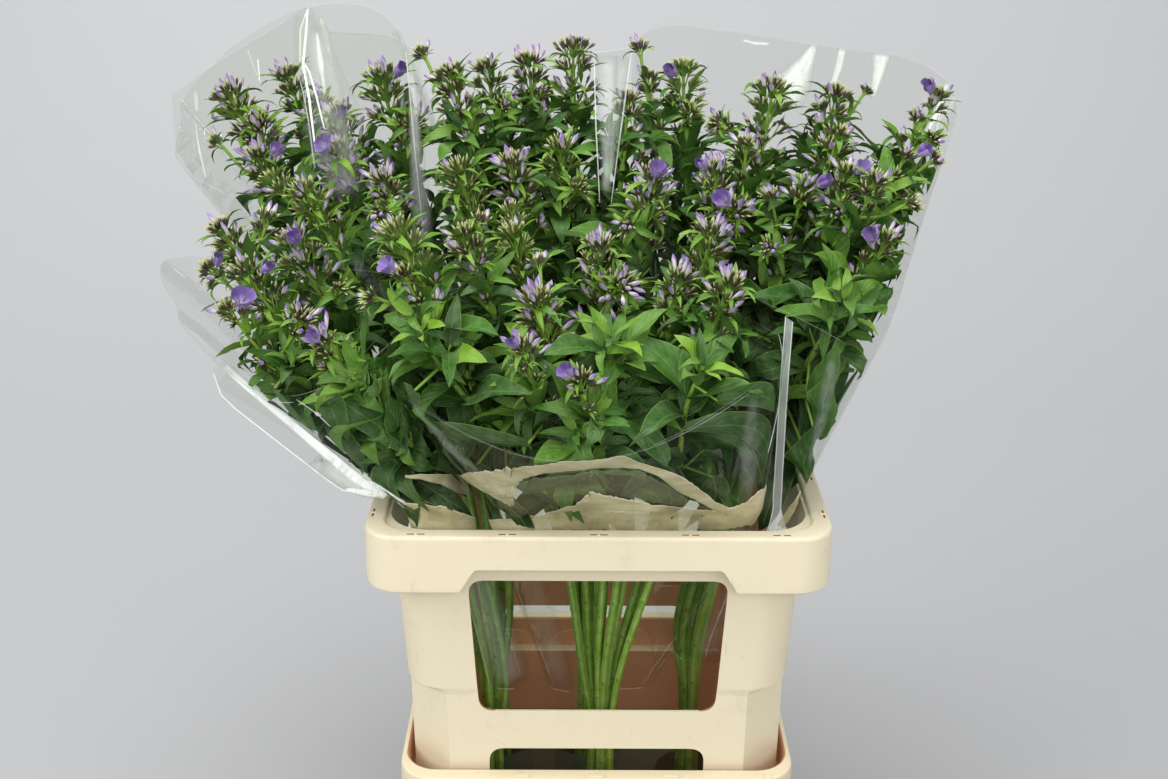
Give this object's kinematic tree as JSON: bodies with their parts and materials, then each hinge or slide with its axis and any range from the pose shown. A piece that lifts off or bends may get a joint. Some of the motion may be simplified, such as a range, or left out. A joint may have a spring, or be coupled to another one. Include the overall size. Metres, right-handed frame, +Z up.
{
  "type": "cut phlox bunches in a flower bucket",
  "caption": "Cut garden phlox in bud: leafy stems topped by heads of furled buds, bunched in clear sleeves that stand in water in a plastic flower bucket with a tall windowed collar.",
  "frame": {"origin": "middle of the bucket's flat base, which stands on the floor", "axes": "+Z up along the stems, +X to the right, -Y to the front where the bare label is"},
  "size_m": [0.7218, 0.364, 0.8358],
  "materials": {
    "cream_plastic": "satin",
    "bucket_plastic": "satin",
    "water": "gloss",
    "label_card": "matte",
    "phlox_buds": "matte",
    "phlox_leaves": "satin",
    "clear_film": "gloss"
  },
  "bodies": {
    "root": {"collar": "cream_plastic", "bucket": "bucket_plastic", "water": "water", "blank_label": "label_card", "flower_head_01": "phlox_buds", "flower_head_02": "phlox_buds", "flower_head_03": "phlox_buds", "flower_head_04": "phlox_buds", "flower_head_05": "phlox_buds", "flower_head_06": "phlox_buds", "flower_head_07": "phlox_buds", "flower_head_08": "phlox_buds", "flower_head_09": "phlox_buds", "flower_head_10": "phlox_buds", "flower_head_11": "phlox_buds", "flower_head_12": "phlox_buds", "flower_head_13": "phlox_buds", "flower_head_14": "phlox_buds", "flower_head_15": "phlox_buds", "flower_head_16": "phlox_buds", "flower_head_17": "phlox_buds", "flower_head_18": "phlox_buds", "flower_head_19": "phlox_buds", "flower_head_20": "phlox_buds", "flower_head_21": "phlox_buds", "flower_head_22": "phlox_buds", "flower_head_23": "phlox_buds", "flower_head_24": "phlox_buds", "flower_head_25": "phlox_buds", "flower_head_26": "phlox_buds", "flower_head_27": "phlox_buds", "flower_head_28": "phlox_buds", "flower_head_29": "phlox_buds", "flower_head_30": "phlox_buds", "flower_head_31": "phlox_buds", "flower_head_32": "phlox_buds", "flower_head_33": "phlox_buds", "flower_head_34": "phlox_buds", "flower_head_35": "phlox_buds", "flower_head_36": "phlox_buds", "flower_head_37": "phlox_buds", "flower_head_38": "phlox_buds", "flower_head_39": "phlox_buds", "flower_head_40": "phlox_buds", "flower_head_41": "phlox_buds", "flower_head_42": "phlox_buds", "flower_head_43": "phlox_buds", "flower_head_44": "phlox_buds", "flower_head_45": "phlox_buds", "flower_head_46": "phlox_buds", "leafy_stems_front": "phlox_leaves", "sleeve_front": "clear_film", "leafy_stems_front_left": "phlox_leaves", "sleeve_front_left": "clear_film", "leafy_stems_back_left": "phlox_leaves", "sleeve_back_left": "clear_film", "leafy_stems_back": "phlox_leaves", "sleeve_back": "clear_film", "leafy_stems_right": "phlox_leaves", "sleeve_right": "clear_film"}
  },
  "joints": []
}
